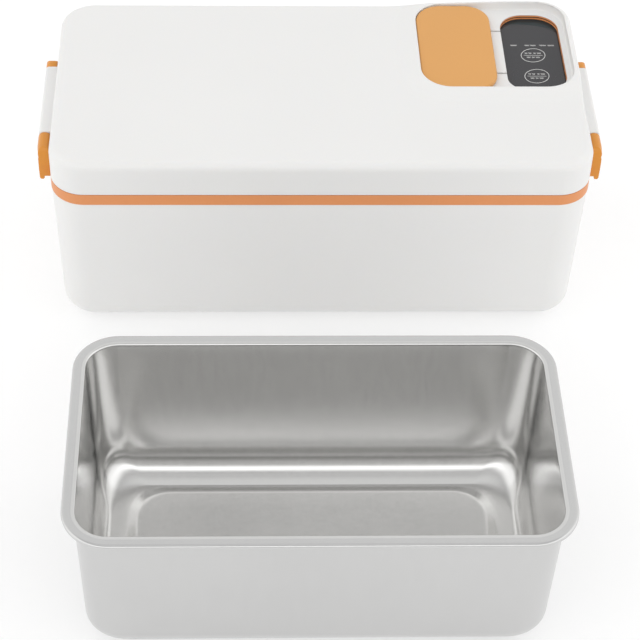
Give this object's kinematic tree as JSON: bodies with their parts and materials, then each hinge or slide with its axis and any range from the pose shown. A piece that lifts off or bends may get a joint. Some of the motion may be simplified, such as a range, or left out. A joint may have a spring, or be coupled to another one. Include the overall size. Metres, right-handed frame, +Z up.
{
  "type": "electric lunch box",
  "caption": "Long electric lunch box with a lift-off lid held by two end latches, a sliding cover over its touch panel, and a removable deep steel food tray with a flat rim.",
  "frame": {"origin": "centre of the box's footprint, on the surface it stands on", "axes": "+Z up, +X to the box's right-hand end (the end with the control recess and the power inlet), +Y to the back; the food tray stands in front, on the -Y side"},
  "size_m": [0.2524, 0.312, 0.1002],
  "materials": {
    "shell_white": "satin",
    "liner_white": "satin",
    "band_orange": "satin",
    "clip_orange": "satin",
    "cover_orange": "satin",
    "foot_rubber": "matte",
    "screw_steel": "plain",
    "pin_steel": "ground",
    "tray_steel": "satin",
    "pot_aluminium": "satin",
    "plate_aluminium": "plain",
    "heater_ceramic": "matte",
    "felt": "matte",
    "black_plastic": "satin",
    "pcb_green": "satin",
    "component": "satin",
    "brass_contact": "plain",
    "wire_red": "satin",
    "wire_brown": "satin",
    "wire_yellow": "satin",
    "silicone": "satin",
    "panel_glass": "satin"
  },
  "bodies": {
    "base": {"base_shell": "shell_white", "rubber_feet": "foot_rubber", "base_screws": "screw_steel", "seam_frame": "band_orange", "liner_pot": "pot_aluminium", "heating_plate": "plate_aluminium", "ptc_heaters": "heater_ceramic", "insulation_pad": "felt", "thermostat": "black_plastic", "thermal_fuse": "heater_ceramic", "power_inlet": "black_plastic", "inlet_pins": "brass_contact", "power_board": "pcb_green", "power_board_parts": "component", "mains_leads": "wire_brown", "heater_leads": "wire_red", "signal_leads": "wire_yellow", "base_contact_block": "black_plastic", "base_contact_pins": "brass_contact"},
    "lid": {"lid_shell": "shell_white", "lid_liner": "liner_white", "lid_gasket": "silicone", "lid_screws": "screw_steel", "panel_bezel": "band_orange", "touch_panel": "panel_glass", "control_board": "pcb_green", "control_board_parts": "component", "lid_contact_block": "black_plastic", "lid_contact_pads": "brass_contact", "left_hinge_pin": "pin_steel", "right_hinge_pin": "pin_steel"},
    "cover": {"sliding_cover": "cover_orange", "cover_retainers": "shell_white"},
    "left_clip": {"left_latch": "clip_orange"},
    "right_clip": {"right_latch": "clip_orange"},
    "tray": {"food_tray": "tray_steel"}
  },
  "joints": [
    {"name": "lid_lift", "type": "slide", "parent": "base", "child": "lid", "axis": [0, 0, 1], "range_m": [0, 0.132]},
    {"name": "cover_slide", "type": "slide", "parent": "lid", "child": "cover", "axis": [1, 0, 0], "range_m": [0, 0.033]},
    {"name": "left_latch_swing", "type": "hinge", "parent": "lid", "child": "left_clip", "pos_m": [-0.1232, -0.0054, 0.0868], "axis": [0, 1, 0], "range_deg": [0, 100]},
    {"name": "right_latch_swing", "type": "hinge", "parent": "lid", "child": "right_clip", "pos_m": [0.1232, -0.0054, 0.0868], "axis": [0, -1, 0], "range_deg": [0, 100]},
    {"name": "tray_lift", "type": "slide", "parent": "base", "child": "tray", "axis": [0, 0, 1], "range_m": [0, 0.12]}
  ]
}
